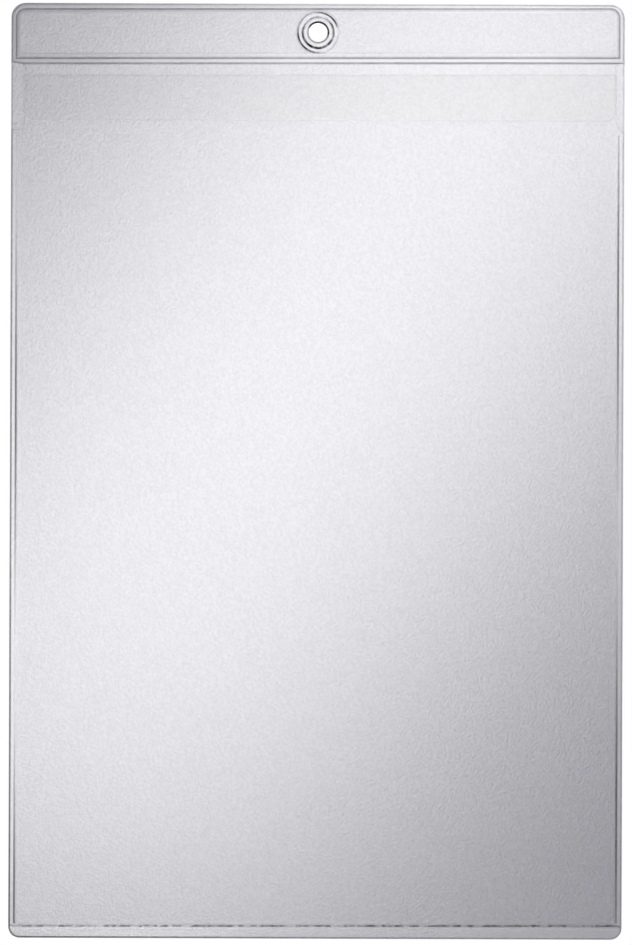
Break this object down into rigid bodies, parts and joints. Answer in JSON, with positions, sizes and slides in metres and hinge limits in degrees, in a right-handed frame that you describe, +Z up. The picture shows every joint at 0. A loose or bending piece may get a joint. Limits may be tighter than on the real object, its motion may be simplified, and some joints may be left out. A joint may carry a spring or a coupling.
{
  "type": "hanging display pocket",
  "caption": "Clear film pocket for an A4 sheet, hung by an eyelet in its welded header, with a cover flap over an open-topped front.",
  "frame": {"origin": "on the eyelet's axis, in the plane of the back film's rear face", "axes": "+X to the right seen from the front, +Y into the wall behind the pocket, +Z up along the hanging pocket"},
  "size_m": [0.2164, 0.0076, 0.33],
  "materials": {
    "back_film": "clear film with a fine pressed grain",
    "front_film": "clear film with a fine pressed grain",
    "header_film": "clear film with a fine pressed grain",
    "eyelet_plastic": "clear, polished"
  },
  "bodies": {
    "pocket": {"back_sheet": "back_film", "front_sheet": "front_film", "header_sheet": "header_film", "eyelet_barrel": "eyelet_plastic", "eyelet_washer": "eyelet_plastic"},
    "flap": {"cover_flap": "header_film"},
    "lip": {"front_lip": "front_film"}
  },
  "joints": [
    {"name": "flap_bend", "type": "hinge", "parent": "pocket", "child": "flap", "pos_m": [0, -0.00045, -0.0108], "axis": [-1, 0, 0], "range_deg": [0, 150]},
    {"name": "lip_bend", "type": "hinge", "parent": "pocket", "child": "lip", "pos_m": [0, -0.00199, -0.0354], "axis": [1, 0, 0], "range_deg": [0, 24]}
  ],
  "couplings": [
    {"joint": "lip_bend", "follows": "flap_bend", "ratio": 0.16}
  ]
}
